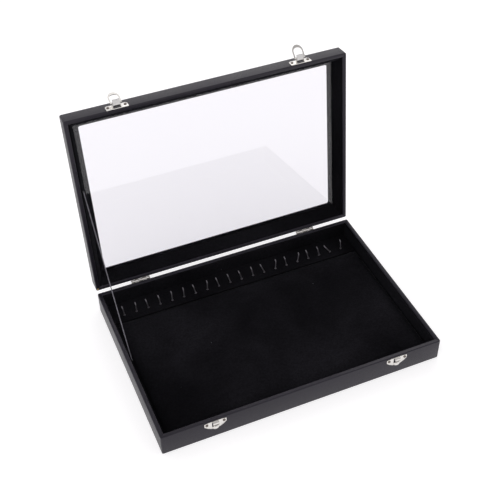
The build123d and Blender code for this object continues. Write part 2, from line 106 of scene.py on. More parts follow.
class BedSettings(bpy.types.PropertyGroup):
    """The padded bed and the strip that holds the hooks."""
    front_roll: FloatProperty(name="Front roll", description="How far back the front edge's roll reaches",
                              default=20 * MM, unit="LENGTH")
    side_roll: FloatProperty(name="Side roll", description="Width of the roll along the sides and the back",
                             default=7 * MM, unit="LENGTH")
    edge_drop: FloatProperty(name="Edge drop", description="How far the bed's edges fall below its top",
                             default=5.2 * MM, unit="LENGTH")
    pressure: FloatProperty(name="Stuffing", description="Pressure of the foam under the velvet", default=3.0)
    most_swell: FloatProperty(name="Most swell", description="The furthest that stuffing may push the velvet",
                              default=0.9 * MM, unit="LENGTH")
    hook_count: IntProperty(name="Hooks", description="Number of hooks on the strip", default=20)
    dimple: FloatProperty(name="Dimple", description="Depth of the velvet's dimple under each hook",
                          default=0.45 * MM, unit="LENGTH")


class HardwareSettings(bpy.types.PropertyGroup):
    """Latches, catches, hooks and the stay cord."""
    plate: FloatProperty(name="Plate", description="Thickness of the stamped plates", default=0.8 * MM,
                         unit="LENGTH")
    eased: FloatProperty(name="Eased edge", description="Rounding of stamped edges", default=0.2 * MM,
                         unit="LENGTH")
    cord: FloatProperty(name="Cord", description="Diameter of the stay cord", default=1.2 * MM, unit="LENGTH")
    cord_lay: FloatProperty(name="Cord lay", description="Length of one turn of the cord's strands",
                            default=3.2 * MM, unit="LENGTH")
    nickel_colour: FloatVectorProperty(name="Nickel colour", description="Colour of the plated metal",
                                       subtype="COLOR", size=4, default=(0.74, 0.72, 0.69, 1))
    hook_colour: FloatVectorProperty(name="Hook colour", description="Colour of the hooks", subtype="COLOR",
                                     size=4, default=(0.21, 0.20, 0.22, 1))
    brass_colour: FloatVectorProperty(name="Brass colour", description="Colour of the brass pin",
                                      subtype="COLOR", size=4, default=(0.93, 0.70, 0.36, 1))


class StageSettings(bpy.types.PropertyGroup):
    """Camera, floor and light."""
    camera: FloatVectorProperty(name="Camera", description="Where the camera stands", subtype="XYZ",
                                unit="LENGTH", default=(-0.31765, -0.72896, 0.87573))
    target: FloatVectorProperty(name="Target", description="The point on the floor that it looks at",
                                subtype="XYZ", unit="LENGTH", default=(0.0355, 0.1498, 0.0))
    roll: FloatProperty(name="Roll", description="Camera's tilt about its own line of sight",
                        default=math.radians(-1.42), subtype="ANGLE")
    lens: FloatProperty(name="Lens", description="Focal length in millimetres", default=68.64)
    daylight: FloatProperty(name="Daylight", description="Strength of the even light all round", default=1.0)
    zenith: FloatProperty(name="Zenith", description="Share of the daylight straight above", default=0.3)
    light_table: FloatProperty(name="Light table", description="Glow of the floor itself", default=0.6)
    floor_colour: FloatVectorProperty(name="Floor colour", description="Colour of the floor", subtype="COLOR",
                                      size=4, default=(0.62, 0.62, 0.62, 1))


# ------------------------------------------------------------- shader building
def tree_of(name, colour=(0.5, 0.5, 0.5, 1), **sockets):
    "A material with its Principled shader, whose even values are set on its own sockets."
    made = bpy.data.materials.new(name)
    made.use_nodes = True
    shader = made.node_tree.nodes["Principled BSDF"]
    shader.inputs["Base Color"].default_value = colour
    for socket, value in sockets.items():
        shader.inputs[socket.replace("_", " ")].default_value = value
    return made, made.node_tree, shader


def add(tree, kind, **settings):
    "A node with its properties, or its inputs by name, set."
    node = tree.nodes.new(kind)
    for name, value in settings.items():
        if name in node.bl_rna.properties:
            setattr(node, name, value)
        else:
            node.inputs[name.replace("_", " ")].default_value = value
    return node


def sum_of(tree, operation, first, second, clamp=False):
    "A Math node of two links or numbers."
    node = tree.nodes.new("ShaderNodeMath")
    node.operation, node.use_clamp = operation, clamp
    for socket, value in zip(node.inputs, (first, second)):
        if isinstance(value, (int, float)):
            socket.default_value = value
        elif value is not None:
            tree.links.new(value, socket)
    return node.outputs[0]


def between(tree, value, low, high, out_low=0.0, out_high=1.0):
    "Maps a value's range onto another, clamped."
    node = add(tree, "ShaderNodeMapRange", From_Min=low, From_Max=high, To_Min=out_low, To_Max=out_high)
    tree.links.new(value, node.inputs["Value"])
    return node.outputs["Result"]


def effect(name, inputs, outputs):
    "A node group with named inputs and outputs, made once."
    tree = bpy.data.node_groups.new(name, "ShaderNodeTree")
    for label, kind, value in inputs:
        socket = tree.interface.new_socket(name=label, in_out="INPUT", socket_type=kind)
        if value is not None:
            socket.default_value = value
    for label, kind in outputs:
        tree.interface.new_socket(name=label, in_out="OUTPUT", socket_type=kind)
    return tree, tree.nodes.new("NodeGroupInput"), tree.nodes.new("NodeGroupOutput")


def place_effect(tree, name, **values):
    "An effect placed in a material, reading Object coordinates."
    node = tree.nodes.new("ShaderNodeGroup")
    node.node_tree = bpy.data.node_groups[name]
    where = tree.nodes.new("ShaderNodeTexCoord")
    tree.links.new(where.outputs["Object"], node.inputs["Vector"])
    for label, value in values.items():
        node.inputs[label.replace("_", " ")].default_value = value
    return node


def raise_surface(tree, shader, height, strength, distance):
    bump = add(tree, "ShaderNodeBump", Strength=strength, Distance=distance)
    tree.links.new(height, bump.inputs["Height"])
    tree.links.new(bump.outputs["Normal"], shader.inputs["Normal"])


def tint(tree, shader, factor, first, second, socket="Base Color"):
    "Mixes two colours by a factor into a colour socket."
    mix = tree.nodes.new("ShaderNodeMix")
    mix.data_type = "RGBA"
    mix.inputs[6].default_value, mix.inputs[7].default_value = first, second
    tree.links.new(factor, mix.inputs[0])
    tree.links.new(mix.outputs[2], shader.inputs[socket])
    return mix


def shade(colour, by):
    return (*[min(1.0, c * by) for c in colour[:3]], 1)


def make_effects():
    "Leather grain, velvet pile, polished metal and dust, shared by the materials."
    scalar, point = "NodeSocketFloat", "NodeSocketVector"
    tree, start, end = effect("Leather grain", [("Vector", point, None), ("Scale", scalar, 2600.0)],
                              [("Height", scalar), ("Crease", scalar), ("Cloud", scalar)])
    warp = add(tree, "ShaderNodeTexNoise", Scale=600.0, Detail=2.0)
    tree.links.new(start.outputs["Vector"], warp.inputs["Vector"])
    mixed = tree.nodes.new("ShaderNodeVectorMath")
    mixed.operation = "MULTIPLY_ADD"
    mixed.inputs[1].default_value = (0.0011, 0.0011, 0.0011)
    tree.links.new(warp.outputs["Color"], mixed.inputs[0])
    tree.links.new(start.outputs["Vector"], mixed.inputs[2])
    cells = add(tree, "ShaderNodeTexVoronoi", feature="DISTANCE_TO_EDGE", Randomness=0.95)
    tree.links.new(mixed.outputs[0], cells.inputs["Vector"])
    tree.links.new(start.outputs["Scale"], cells.inputs["Scale"])
    pebble = between(tree, cells.outputs["Distance"], 0.0, 0.32)
    fine = add(tree, "ShaderNodeTexNoise", Scale=5200.0, Detail=3.0, Roughness=0.6)
    tree.links.new(start.outputs["Vector"], fine.inputs["Vector"])
    height = sum_of(tree, "ADD", pebble, sum_of(tree, "MULTIPLY", fine.outputs["Fac"], 0.35))
    cloud = add(tree, "ShaderNodeTexNoise", Scale=22.0, Detail=4.0, Roughness=0.55)
    tree.links.new(start.outputs["Vector"], cloud.inputs["Vector"])
    tree.links.new(height, end.inputs["Height"])
    tree.links.new(between(tree, cells.outputs["Distance"], 0.0, 0.14, 1.0, 0.0), end.inputs["Crease"])
    tree.links.new(between(tree, cloud.outputs["Fac"], 0.3, 0.7), end.inputs["Cloud"])

    tree, start, end = effect("Velvet pile", [("Vector", point, None), ("Scale", scalar, 2600.0)],
                              [("Height", scalar), ("Tuft", scalar), ("Nap", scalar)])
    tufts = add(tree, "ShaderNodeTexNoise", Detail=4.0, Roughness=0.7)
    tree.links.new(start.outputs["Vector"], tufts.inputs["Vector"])
    tree.links.new(start.outputs["Scale"], tufts.inputs["Scale"])
    clumps = add(tree, "ShaderNodeTexNoise", Scale=420.0, Detail=2.0)
    tree.links.new(start.outputs["Vector"], clumps.inputs["Vector"])
    brushed = add(tree, "ShaderNodeTexNoise", Scale=9.0, Detail=3.0, Roughness=0.5, Distortion=0.6)
    tree.links.new(start.outputs["Vector"], brushed.inputs["Vector"])
    pile = sum_of(tree, "ADD", sum_of(tree, "MULTIPLY", tufts.outputs["Fac"], 0.7),
                  sum_of(tree, "MULTIPLY", clumps.outputs["Fac"], 0.3))
    tree.links.new(pile, end.inputs["Height"])
    tree.links.new(between(tree, pile, 0.38, 0.62), end.inputs["Tuft"])
    tree.links.new(between(tree, brushed.outputs["Fac"], 0.32, 0.68), end.inputs["Nap"])

    tree, start, end = effect("Metal polish", [("Vector", point, None), ("Scale", scalar, 900.0)],
                              [("Height", scalar), ("Smudge", scalar), ("Tarnish", scalar)])
    lines = add(tree, "ShaderNodeMapping")
    lines.inputs["Scale"].default_value = (0.25, 4.0, 4.0)
    tree.links.new(start.outputs["Vector"], lines.inputs["Vector"])
    scratches = add(tree, "ShaderNodeTexNoise", Detail=3.0, Roughness=0.65)
    tree.links.new(lines.outputs["Vector"], scratches.inputs["Vector"])
    tree.links.new(start.outputs["Scale"], scratches.inputs["Scale"])
    smudge = add(tree, "ShaderNodeTexNoise", Scale=240.0, Detail=3.0)
    tree.links.new(start.outputs["Vector"], smudge.inputs["Vector"])
    tarnish = add(tree, "ShaderNodeTexNoise", Scale=520.0, Detail=5.0, Roughness=0.7)
    tree.links.new(start.outputs["Vector"], tarnish.inputs["Vector"])
    tree.links.new(scratches.outputs["Fac"], end.inputs["Height"])
    tree.links.new(between(tree, smudge.outputs["Fac"], 0.35, 0.7), end.inputs["Smudge"])
    tree.links.new(between(tree, tarnish.outputs["Fac"], 0.58, 0.75), end.inputs["Tarnish"])

    tree, start, end = effect("Dust specks", [("Vector", point, None), ("Scale", scalar, 70.0),
                                              ("Amount", scalar, 0.3)], [("Speck", scalar)])
    seeds = add(tree, "ShaderNodeTexVoronoi", Randomness=1.0)
    tree.links.new(start.outputs["Vector"], seeds.inputs["Vector"])
    tree.links.new(start.outputs["Scale"], seeds.inputs["Scale"])
    apart = tree.nodes.new("ShaderNodeSeparateColor")
    tree.links.new(seeds.outputs["Color"], apart.inputs[0])
    size = sum_of(tree, "MULTIPLY", apart.outputs[1], 0.03)
    near = sum_of(tree, "LESS_THAN", seeds.outputs["Distance"], size)
    chosen = sum_of(tree, "LESS_THAN", apart.outputs[0], start.outputs["Amount"])
    tree.links.new(sum_of(tree, "MULTIPLY", near, chosen), end.inputs["Speck"])


def leather(name, colour, scale=2600.0, gloss=0.27):
    made, tree, shader = tree_of(name, colour, Specular_IOR_Level=0.36,
                                 Specular_Tint=(0.93, 0.88, 1.0, 1))
    grain = place_effect(tree, "Leather grain", Scale=scale)
    tint(tree, shader, grain.outputs["Cloud"], shade(colour, 0.8), shade(colour, 1.25))
    dull = sum_of(tree, "MULTIPLY", grain.outputs["Crease"], 0.18)
    rough = sum_of(tree, "ADD", dull, between(tree, grain.outputs["Cloud"], 0, 1, gloss, gloss + 0.1), True)
    tree.links.new(rough, shader.inputs["Roughness"])
    raise_surface(tree, shader, grain.outputs["Height"], 0.4, 0.00006)
    return made


def velvet(name, colour, sheen=0.05, specks=0.3):
    made, tree, shader = tree_of(name, colour, Roughness=0.95, Specular_IOR_Level=0.0, Sheen_Weight=sheen,
                                 Sheen_Roughness=0.35, Sheen_Tint=(0.75, 0.76, 0.85, 1))
    pile = place_effect(tree, "Velvet pile")
    nap = tint(tree, shader, pile.outputs["Nap"], shade(colour, 0.6), shade(colour, 1.5))
    fibre = tree.nodes.new("ShaderNodeMix")
    fibre.data_type, fibre.blend_type = "RGBA", "MULTIPLY"
    fibre.inputs[0].default_value = 1.0
    tree.links.new(nap.outputs[2], fibre.inputs[6])
    light = tree.nodes.new("ShaderNodeCombineColor")
    tone = between(tree, pile.outputs["Tuft"], 0, 1, 0.55, 1.5)
    for socket in light.inputs:
        tree.links.new(tone, socket)
    tree.links.new(light.outputs[0], fibre.inputs[7])
    dust = place_effect(tree, "Dust specks", Amount=specks)
    dusty = tree.nodes.new("ShaderNodeMix")
    dusty.data_type = "RGBA"
    dusty.inputs[7].default_value = (0.16, 0.16, 0.18, 1)
    tree.links.new(dust.outputs["Speck"], dusty.inputs[0])
    tree.links.new(fibre.outputs[2], dusty.inputs[6])
    tree.links.new(dusty.outputs[2], shader.inputs["Base Color"])
    raise_surface(tree, shader, pile.outputs["Height"], 0.6, 0.0002)
    return made


def metal(name, colour, rough=0.14, wear=0.45, scratch=0.15):
    made, tree, shader = tree_of(name, colour, Metallic=1.0)
    polish = place_effect(tree, "Metal polish")
    tint(tree, shader, polish.outputs["Tarnish"], colour, shade(colour, wear))
    tree.links.new(between(tree, polish.outputs["Smudge"], 0, 1, rough, rough + 0.14),
                   shader.inputs["Roughness"])
    raise_surface(tree, shader, polish.outputs["Height"], scratch, 0.00005)
    return made


def make_materials():
    cover, ware = bpy.context.scene.case_covering, bpy.context.scene.case_hardware
    made = {
        "black leatherette": leather("black leatherette", tuple(cover.leather_colour)),
        "lining velvet": velvet("lining velvet", tuple(cover.velvet_colour)),
        # the bed's velvet is the lining velvet made 1.3 times lighter: painted light on the same cloth
        "bed velvet painted lighter": velvet("bed velvet painted lighter", shade(cover.velvet_colour, 1.3), sheen=0.07, specks=0.3),
        "bright nickel": metal("bright nickel", tuple(ware.nickel_colour)),
        "lever satin": metal("lever satin", (0.60, 0.59, 0.58, 1), rough=0.34),
        # the screws' dark brown colour is painted shade, standing in for the shadow in their slots
        "screw steel painted dark for slot shade": metal("screw steel painted dark for slot shade", (0.17, 0.145, 0.13, 1), rough=0.3, wear=0.3),
        "pin steel": metal("pin steel", (0.50, 0.50, 0.51, 1), rough=0.28),
        "polished brass": metal("polished brass", tuple(ware.brass_colour), rough=0.42, wear=0.6),
        "hook wire": metal("hook wire", tuple(ware.hook_colour), rough=0.45, wear=0.5),
        "black card": leather("black card", (0.012, 0.012, 0.014, 1), scale=3200.0, gloss=0.75),
        "underside paper": leather("underside paper", (0.018, 0.018, 0.019, 1), scale=2400.0, gloss=0.8),
        "bare board": leather("bare board", (0.42, 0.33, 0.23, 1), scale=1800.0, gloss=0.8),
    }
    # the stay cord is black; its grey colour (0.14) is painted sheen, and the knots keep the cord's black
    for name, colour in (("stay cord", (0.14, 0.135, 0.16, 1)), ("knotted cord", (0.02, 0.02, 0.024, 1))):
        cord, tree, shader = tree_of(name, colour, Roughness=0.45, Specular_IOR_Level=0.4, Sheen_Weight=0.2)
        fibres = place_effect(tree, "Metal polish", Scale=2600.0)
        tint(tree, shader, fibres.outputs["Smudge"], shade(colour, 0.75), shade(colour, 1.4))
        raise_surface(tree, shader, fibres.outputs["Height"], 0.4, 0.00006)
        made[name] = cord
    pane, tree, shader = tree_of("window glass", (0.855, 0.845, 0.88, 1), IOR=1.45, Metallic=0.0,
                                 Transmission_Weight=1.0)
    dust = place_effect(tree, "Dust specks", Scale=55.0, Amount=0.25)
    tree.links.new(between(tree, dust.outputs["Speck"], 0, 1, 0.0, 0.3), shader.inputs["Roughness"])
    made["window glass"] = pane
    return made


# --------------------------------------------------------------- mesh building
def points_of(geom):
    "The vertices in a list of mixed geometry."
    return [part for part in geom if isinstance(part, bmesh.types.BMVert)]


def edges_of(geom):
    "The edges in a list of mixed geometry."
    return [part for part in geom if isinstance(part, bmesh.types.BMEdge)]


def block_in(bm, low, high):
    "A box between two corners; its six faces by direction."
    made = bmesh.ops.create_cube(bm, size=1.0)["verts"]
    low, high = Vector(low), Vector(high)
    bmesh.ops.scale(bm, vec=high - low, verts=made)
    bmesh.ops.translate(bm, vec=(low + high) / 2, verts=made)
    bm.normal_update()
    faces = {face for vert in made for face in vert.link_faces}
    return {("-" if face.normal[axis] < 0 else "+") + "xyz"[axis]: face
            for face in faces for axis in range(3) if abs(face.normal[axis]) > 0.9}


def ease(bm, edges, radius, segments=3):
    "Rounds edges."
    return bmesh.ops.bevel(bm, geom=list(edges), offset=radius, segments=segments, affect="EDGES",
                           profile=0.5, material=-1)


def upright(edge):
    a, b = edge.verts
    return abs(a.co.x - b.co.x) < 1e-6 and abs(a.co.y - b.co.y) < 1e-6


def turned_edges(bm, steep=0.1):
    "Edges where a level face meets an upright one."
    bm.normal_update()
    found = []
    for edge in bm.edges:
        if len(edge.link_faces) == 2:
            ups = sorted(abs(face.normal.z) for face in edge.link_faces)
            if ups[0] < steep and ups[1] > 1 - steep:
                found.append(edge)
    return found


def cut_along(bm, axis, cuts, low, high):
    "Cuts a mesh across an axis at even steps."
    for step in range(1, cuts):
        where = Vector((0, 0, 0))
        where[axis] = low + (high - low) * step / cuts
        normal = Vector((0, 0, 0))
        normal[axis] = 1
        bmesh.ops.bisect_plane(bm, geom=list(bm.verts) + list(bm.edges) + list(bm.faces), dist=1e-7,
                               plane_co=where, plane_no=normal)


def ruffle(bm, amount, scale, seed=0.0):
    "Small smooth unevenness along the surface's own normals."
    bm.normal_update()
    shift = Vector((seed, seed * 1.7, seed * 0.3))
    for vert in bm.verts:
        vert.co += vert.normal * noise.noise(vert.co * scale + shift) * amount


def close_up(bm):
    bmesh.ops.remove_doubles(bm, verts=bm.verts, dist=1e-6)
    bmesh.ops.recalc_face_normals(bm, faces=bm.faces)


def finish_piece(bm, name, body, nodes, material, place=None, sharp=35):
    "Turns a bmesh into a finished piece that stands for its CAD nodes."
    if place is not None:
        bmesh.ops.transform(bm, matrix=place, verts=bm.verts)
    mesh = bpy.data.meshes.new(name)
    bm.to_mesh(mesh)
    bm.free()
    mesh.shade_smooth()
    mesh.set_sharp_from_angle(angle=math.radians(sharp))
    mesh.materials.append(bpy.data.materials[material])
    piece = bpy.data.objects.new(name, mesh)
    bpy.context.scene.collection.objects.link(piece)
    if body:
        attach(piece, body)
    if nodes:
        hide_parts(*nodes)
    return piece


def thicken(piece, amount, offset=-1.0):
    skin = piece.modifiers.new("skin", "SOLIDIFY")
    skin.thickness, skin.offset = amount, offset
    return skin


def soften(piece, width, segments=2):
    eased = piece.modifiers.new("eased", "BEVEL")
    eased.width, eased.segments, eased.limit_method = width, segments, "ANGLE"
    return eased


def finish_node(node, material):
    "Gives a CAD node its material."
    slots = NODES[node].data.materials
    slots.clear()
    slots.append(bpy.data.materials[material])


def to_mesh(curve_object, name):
    "A curve's mesh, in place of the curve."
    bpy.context.view_layer.update()
    seen = curve_object.evaluated_get(bpy.context.evaluated_depsgraph_get())
    mesh = bpy.data.meshes.new_from_object(seen)
    mesh.name = name
    bpy.data.objects.remove(curve_object)
    return mesh


# ----------------------------------------------------------- leatherette covers
def mitre_folds(bm, height):
    "Pressed folds across the rim's four corners."
    for sx, sy in ((1, 1), (1, -1), (-1, 1), (-1, -1)):
        corner = Vector((sx * WIDTH / 2, sy * DEPTH / 2, height))
        near = [face for face in bm.faces
                if face.normal.z > 0.9 and any((vert.co - corner).length < 16 * MM for vert in face.verts)]
        geometry = {*near, *[e for f in near for e in f.edges], *[v for f in near for v in f.verts]}
        cut = bmesh.ops.bisect_plane(bm, geom=list(geometry), dist=1e-6, plane_co=corner,
                                     plane_no=Vector((sy, -sx, 0)))
        line = [e for e in cut["geom_cut"] if isinstance(e, bmesh.types.BMEdge)
                and (e.verts[0].co - corner).length < 12 * MM]
        if line:
            made = ease(bm, line, 0.28 * MM, 2)
            across = Vector((sy, -sx, 0)).normalized()
            for vert in made["verts"]:
                if abs((vert.co - corner).dot(across)) < 1e-5:
                    vert.co.z -= 0.16 * MM


def leather_shell(height, inner_depth, back_inset, reveal, window_corner=0.0):
    "A covering with its rim up: outer walls, rim, inner lip, and the turned back edge."
    cover = bpy.context.scene.case_covering
    bm = bmesh.new()
    side = block_in(bm, (-WIDTH / 2, -DEPTH / 2, 0), (WIDTH / 2, DEPTH / 2, height))
    bmesh.ops.inset_region(bm, faces=[side["+z"]], thickness=cover.rim_width, use_even_offset=True)
    bmesh.ops.inset_region(bm, faces=[side["+z"]], thickness=0.0, depth=-inner_depth)
    bmesh.ops.inset_region(bm, faces=[side["-z"]], thickness=back_inset, use_even_offset=True)
    if reveal:
        bmesh.ops.inset_region(bm, faces=[side["-z"]], thickness=0.0, depth=-reveal)
    bmesh.ops.delete(bm, geom=[side["+z"], side["-z"]], context="FACES_ONLY")
    outer = [e for e in bm.edges if upright(e) and abs(e.verts[0].co.x) > WIDTH / 2 - 1e-5]
    ease(bm, outer, cover.corner, 5)
    if window_corner:
        window = [e for e in bm.edges if upright(e) and abs(e.verts[0].co.x) < WIDTH / 2 - back_inset + 1e-5]
        ease(bm, window, window_corner, 4)
    ease(bm, turned_edges(bm), cover.fold, 4)
    bm.normal_update()
    mitre_folds(bm, height)
    bmesh.ops.recalc_face_normals(bm, faces=bm.faces)
    bm.normal_update()
    outside = max(bm.faces, key=lambda face: face.calc_center_median().x * (abs(face.normal.x) > 0.9))
    if outside.normal.x < 0:
        bmesh.ops.reverse_faces(bm, faces=bm.faces)
    return bm


def turn_over(height, z):
    "Places a rim-up shell rim-down, its rim at z."
    return Matrix.Translation((0, 0, z + height)) @ Matrix.Rotation(math.pi, 4, "Y")


class CASE_OT_base_cover(bpy.types.Operator):
    """Wrap the base in leatherette"""
    bl_idname, bl_label = "case.base_cover", "Base leatherette"

    def execute(self, context):
        cover = context.scene.case_covering
        bm = leather_shell(BASE_H, BASE_H - 4.2 * MM, cover.turn_under, 0.0)
        piece = finish_piece(bm, "base_leatherette", "base", ["base_wrap"],
                             "black leatherette")
        thicken(piece, cover.skin)
        return {"FINISHED"}


class CASE_OT_lid_cover(bpy.types.Operator):
    """Wrap the lid in leatherette, round its window"""
    bl_idname, bl_label = "case.lid_cover", "Lid leatherette"

    def execute(self, context):
        cover = context.scene.case_covering
        bm = leather_shell(cover.lid_height, 15 * MM, cover.window_inset, 1.4 * MM, 2.2 * MM)
        place = OPEN_LID @ turn_over(cover.lid_height, LID_Z)
        piece = finish_piece(bm, "lid_leatherette", "lid", ["lid_wrap"],
                             "black leatherette", place)
        thicken(piece, cover.skin)
        finish_node("lid_window_frame", "black card")
        return {"FINISHED"}


# -------------------------------------------------------------- velvet linings
def ring(low, high, wall):
    "A closed four-sided ring of even wall, standing on its lower edge."
    bm = bmesh.new()
    side = block_in(bm, low, high)
    bmesh.ops.inset_region(bm, faces=[side["+z"]], thickness=wall, use_even_offset=True)
    bmesh.ops.inset_region(bm, faces=[side["+z"]], thickness=0.0, depth=-(high[2] - low[2]))
    bmesh.ops.delete(bm, geom=[side["+z"], side["-z"]], context="FACES_ONLY")
    bmesh.ops.bridge_loops(bm, edges=[e for e in bm.edges if e.is_boundary])
    return bm


class CASE_OT_liners(bpy.types.Operator):
    """Line the base's walls with velvet on card"""
    bl_idname, bl_label = "case.liners", "Velvet liners"

    def execute(self, context):
        names = ["base_front_liner", "base_back_liner", "base_left_liner", "base_right_liner"]
        low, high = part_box("base_left_liner")
        reach = Vector((-low.x, high.y, 0)) - Vector((0.05 * MM, 0.05 * MM, 0))
        thick = high.x - low.x
        bm = ring((-reach.x, -reach.y, low.z), (reach.x, reach.y, high.z), thick)
        ease(bm, [e for e in turned_edges(bm) if e.verts[0].co.z > high.z - MM], 0.55 * MM, 3)
        cut_along(bm, 0, 60, -reach.x, reach.x)
        cut_along(bm, 1, 42, -reach.y, reach.y)
        cut_along(bm, 2, 5, low.z, high.z - 0.8 * MM)
        ruffle(bm, 0.12 * MM, 55.0)
        close_up(bm)
        finish_piece(bm, "base_velvet_liners", "base", names, "lining velvet")
        return {"FINISHED"}


class CASE_OT_mouldings(bpy.types.Operator):
    """Fit the lid's sloping velvet mouldings round the glass"""
    bl_idname, bl_label = "case.mouldings", "Lid mouldings"

    def execute(self, context):
        names = ["lid_front_moulding", "lid_back_moulding", "lid_left_moulding", "lid_right_moulding"]
        rim = context.scene.case_covering.rim_width + 0.05 * MM
        top, bottom = LID_Z + 1.0 * MM, LID_Z + 14.95 * MM
        x, y = WIDTH / 2 - rim, DEPTH / 2 - rim
        bm = bmesh.new()
        side = block_in(bm, (-x, -y, top), (x, y, bottom))
        bmesh.ops.inset_region(bm, faces=[side["-z"]], thickness=0.9 * MM, use_even_offset=True)
        bmesh.ops.inset_region(bm, faces=[side["-z"]], thickness=0.0, depth=-(bottom - top))
        mouth = list(side["-z"].verts)
        for vert in mouth:
            vert.co.x = math.copysign(x - 7.2 * MM, vert.co.x)
            vert.co.y = math.copysign(y - 10.2 * MM, vert.co.y)
        bmesh.ops.delete(bm, geom=[side["+z"], side["-z"]], context="FACES_ONLY")
        bmesh.ops.bridge_loops(bm, edges=[e for e in bm.edges if e.is_boundary])
        bm.normal_update()
        lip = [e for e in bm.edges if all(abs(v.co.z - top) < 1e-6 for v in e.verts)
               and len(e.link_faces) == 2 and any(abs(f.normal.z) < 0.95 for f in e.link_faces)]
        ease(bm, lip, 0.7 * MM, 3)
        cut_along(bm, 0, 48, -x, x)
        cut_along(bm, 1, 34, -y, y)
        cut_along(bm, 2, 5, top, bottom)
        bm.normal_update()
        for vert in bm.verts:
            level = (vert.co.z - top) / (bottom - top)
            if 0.05 < level < 0.95 and abs(vert.normal.z) > 0.2:
                vert.co += vert.normal * 0.5 * MM * math.sin(math.pi * level)
        ruffle(bm, 0.12 * MM, 60.0, 4.0)
        close_up(bm)
        finish_piece(bm, "lid_velvet_mouldings", "lid", names, "lining velvet", OPEN_LID)
        return {"FINISHED"}


# ----------------------------------------------------------------- padded bed
def stuff(piece, pressure, most, pinned):
    "Blows a closed pad up a little with a cloth simulation and keeps the result."
    held = piece.vertex_groups.new(name="held")
    for vert in piece.data.vertices:
        held.add([vert.index], 1.0 if pinned(vert.co) else 0.0, "REPLACE")
    before = [vert.co.copy() for vert in piece.data.vertices]
    cloth = piece.modifiers.new("stuffing", "CLOTH")
    cloth.settings.quality = 5
    cloth.settings.mass = 0.2
    cloth.settings.tension_stiffness = cloth.settings.compression_stiffness = 12
    cloth.settings.bending_stiffness = 0.6
    cloth.settings.vertex_group_mass = "held"
    cloth.settings.use_pressure = True
    cloth.settings.uniform_pressure_force = pressure
    cloth.settings.effector_weights.gravity = 0
    cloth.collision_settings.use_collision = False
    scene = bpy.context.scene
    for number in range(1, 21):
        scene.frame_set(number)
    seen = piece.evaluated_get(bpy.context.evaluated_depsgraph_get())
    swollen = [vert.co.copy() for vert in seen.data.vertices]
    piece.modifiers.remove(cloth)
    scene.frame_set(1)
    for vert, old, new in zip(piece.data.vertices, before, swollen):
        step = new - old
        vert.co = old + step * min(1.0, most / max(step.length, 1e-9))
    piece.vertex_groups.clear()


class CASE_OT_bed(bpy.types.Operator):
    """Lay the padded velvet bed and stuff it"""
    bl_idname, bl_label = "case.bed", "Padded bed"

    def execute(self, context):
        bed = context.scene.case_bed
        low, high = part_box("bed_cover")
        middle = (low + high) / 2
        half = (high - low) / 2
        bm = bmesh.new()
        block_in(bm, low, high)
        cut_along(bm, 0, 84, low.x, high.x)
        cut_along(bm, 1, 48, low.y, high.y)
        cut_along(bm, 2, 3, low.z, high.z)
        corner = 15 * MM
        for vert in bm.verts:
            x, y, z = vert.co - middle
            # rounded corners in plan
            over_x, over_y = abs(x) - (half.x - corner), abs(y) - (half.y - corner)
            if over_x > 0 and over_y > 0:
                out = math.hypot(over_x, over_y)
                reach = corner * max(over_x, over_y) / out
                x = math.copysign(half.x - corner + over_x * reach / corner, x)
                y = math.copysign(half.y - corner + over_y * reach / corner, y)
            across = abs(x) / half.x
            front = bed.front_roll + 6 * MM * across ** 2
            gaps = [((half.y + y), front), ((half.y - y), 3.5 * MM), ((half.x - abs(x)), bed.side_roll)]
            fall = 0.0
            for gap, roll in gaps:
                share = max(0.0, 1 - gap / roll)
                fall += bed.edge_drop * (1 - math.sqrt(max(0.0, 1 - share ** 2)))
            lift = (z + half.z) / (2 * half.z)
            vert.co = middle + Vector((x, y, z - min(fall, 1.3 * bed.edge_drop) * lift))
        close_up(bm)
        piece = finish_piece(bm, "velvet_bed", "base", ["bed_cover"], "bed velvet painted lighter", sharp=80)
        stuff(piece, bed.pressure, bed.most_swell, lambda co: co.z < low.z + 2.5 * MM)
        for vert in piece.data.vertices:
            vert.co.z += 0.10 * MM * noise.noise(vert.co * 40.0)
            vert.co.x = max(low.x + 0.05 * MM, min(high.x - 0.05 * MM, vert.co.x))
            vert.co.y = max(low.y + 0.05 * MM, min(high.y - 0.05 * MM, vert.co.y))
        soft = piece.modifiers.new("soft", "SUBSURF")
        soft.levels = soft.render_levels = 1
        return {"FINISHED"}


class CASE_OT_strip(bpy.types.Operator):
    """Cover the strip behind the bed and set the hooks in it"""
    bl_idname, bl_label = "case.strip", "Hook strip"

    def execute(self, context):
        bed = context.scene.case_bed
        low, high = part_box("hook_strip_cover")
        bm = bmesh.new()
        block_in(bm, low + Vector((0.05, 0, 0)) * MM, high - Vector((0.05, 0, 0)) * MM)
        ease(bm, [e for e in turned_edges(bm) if e.verts[0].co.z > high.z - MM], 1.3 * MM, 4)
        cut_along(bm, 0, 168, low.x, high.x)
        cut_along(bm, 1, 16, low.y, high.y)
        line = high.y - HOOK_BACK
        pitch = 2 * (high.x - HOOK_MARGIN) / (bed.hook_count - 1)
        for vert in bm.verts:
            if vert.co.z > high.z - 0.5 * MM:
                number = round((vert.co.x + high.x - HOOK_MARGIN) / pitch)
                number = max(0, min(bed.hook_count - 1, number))
                foot = Vector((number * pitch - high.x + HOOK_MARGIN, line))
                away = (vert.co.xy - foot).length
                vert.co.z -= bed.dimple * math.exp(-(away / (3.0 * MM)) ** 2)
                vert.co.z -= 0.08 * MM * (1 + noise.noise(vert.co * 90.0))
        close_up(bm)
        finish_piece(bm, "hook_strip_velvet", "base", ["hook_strip_cover"], "lining velvet")
        finish_node("necklace_hooks", "hook wire")
        return {"FINISHED"}


